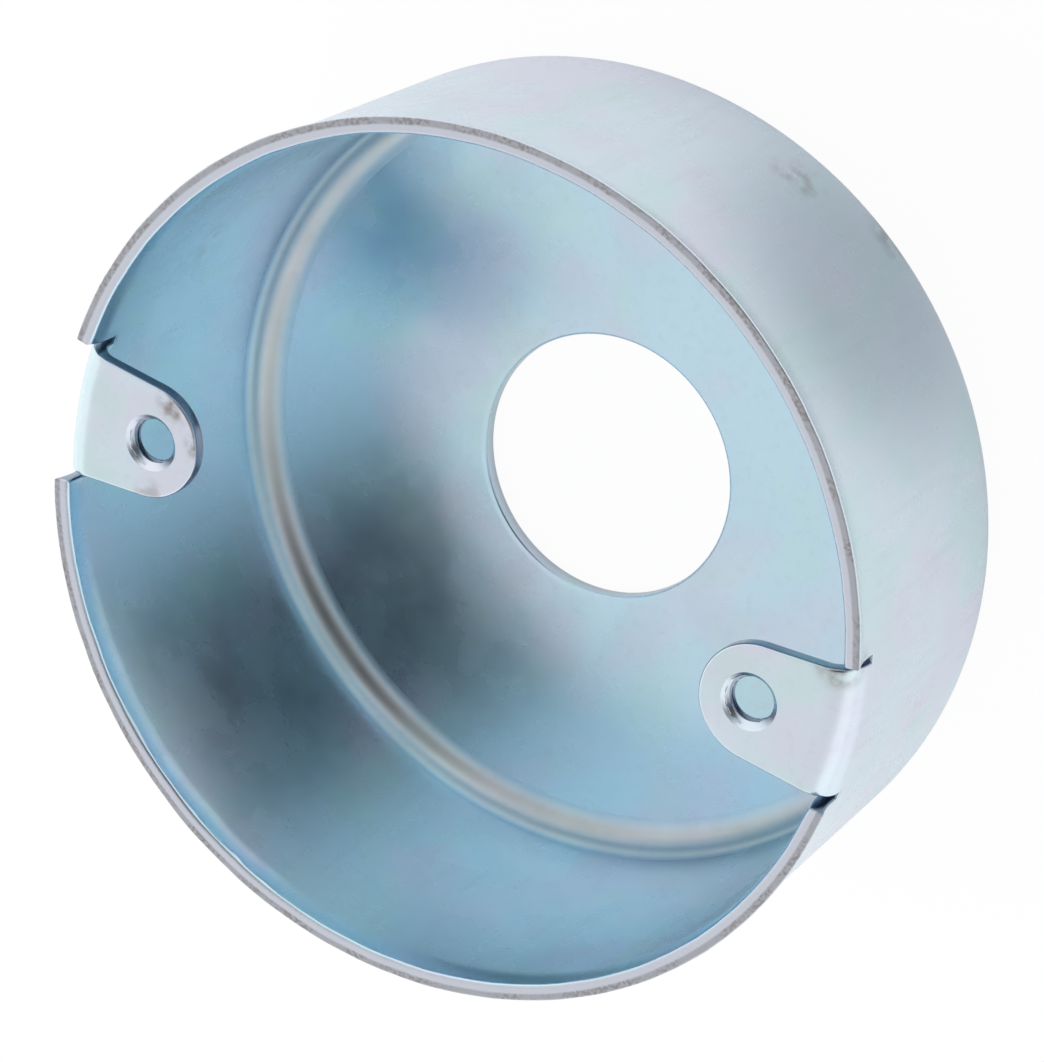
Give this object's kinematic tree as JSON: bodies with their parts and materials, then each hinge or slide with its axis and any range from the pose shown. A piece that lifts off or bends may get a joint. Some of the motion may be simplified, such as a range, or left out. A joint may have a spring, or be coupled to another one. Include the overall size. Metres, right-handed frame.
{
  "type": "deep drawn metal cup",
  "caption": "Round deep drawn steel cup with a flat floor, a large centre hole, a flared trimmed rim and two folded-in lugs with tapped screw holes.",
  "frame": {"origin": "centre of the floor's outer face, which the cup stands on", "axes": "+Z along the cup's axis from the floor to the open mouth, X through the two lugs"},
  "size_m": [0.0662, 0.0668, 0.027],
  "materials": {
    "zinc_plated_steel": "bright zinc plate, blue passivated, satin as drawn"
  },
  "bodies": {
    "root": {"drawn_cup": "zinc_plated_steel"}
  },
  "joints": []
}
